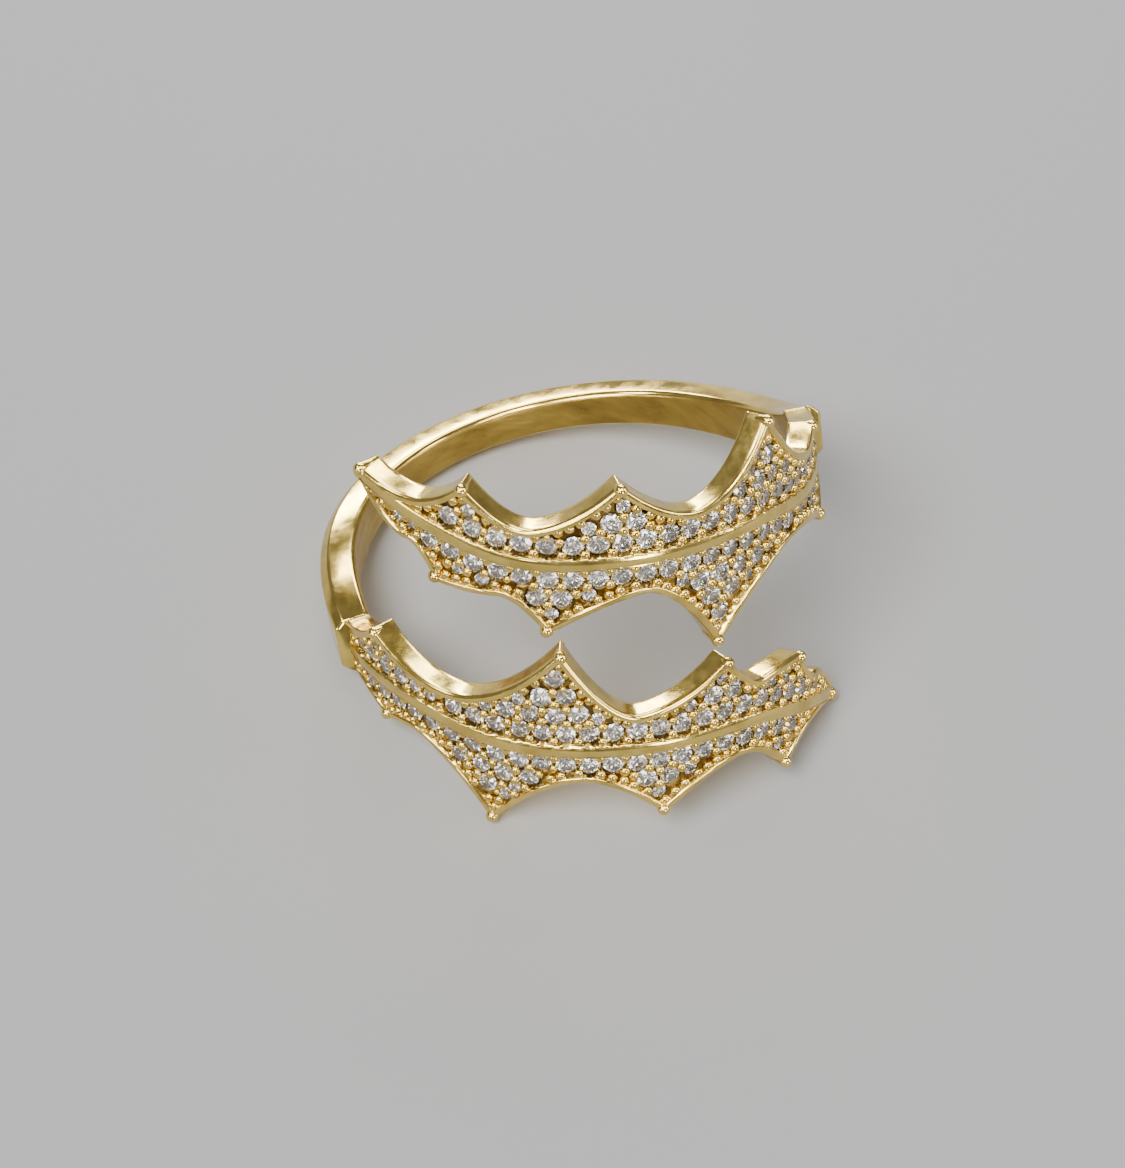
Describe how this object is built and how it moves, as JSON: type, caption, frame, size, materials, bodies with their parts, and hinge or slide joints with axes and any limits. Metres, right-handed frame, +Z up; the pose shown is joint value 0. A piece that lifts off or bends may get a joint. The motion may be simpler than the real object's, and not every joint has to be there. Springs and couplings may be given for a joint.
{
  "type": "finger ring",
  "caption": "Open bypass finger ring: two toothed leaves set with small clear stones wrap past each other at the front of a plain bevelled shank.",
  "frame": {"origin": "centre of the finger hole, midway between the two leaves", "axes": "+Z up from the surface that the ring rests on, -Y towards the leaves at its front, +X to the viewer's right of the front; the finger axis leans back from +Z towards +Y by about 23 degrees and 6 degrees towards -X"},
  "size_m": [0.0199, 0.0213, 0.0151],
  "materials": {
    "gold": "polished gold-plated casting, satin inside",
    "stone": "clear faceted round brilliants"
  },
  "bodies": {
    "root": {"shank": "gold", "upper_leaf": "gold", "lower_leaf": "gold", "upper_leaf_outer_stones_1": "stone", "upper_leaf_outer_stones_2": "stone", "upper_leaf_outer_stones_3": "stone", "upper_leaf_outer_stones_4": "stone", "upper_leaf_inner_stones_1": "stone", "upper_leaf_inner_stones_2": "stone", "upper_leaf_inner_stones_3": "stone", "upper_leaf_inner_stones_4": "stone", "upper_leaf_inner_stones_5": "stone", "lower_leaf_outer_stones_1": "stone", "lower_leaf_outer_stones_2": "stone", "lower_leaf_outer_stones_3": "stone", "lower_leaf_outer_stones_4": "stone", "lower_leaf_inner_stones_1": "stone", "lower_leaf_inner_stones_2": "stone", "lower_leaf_inner_stones_3": "stone", "lower_leaf_inner_stones_4": "stone", "lower_leaf_inner_stones_5": "stone"}
  },
  "joints": []
}
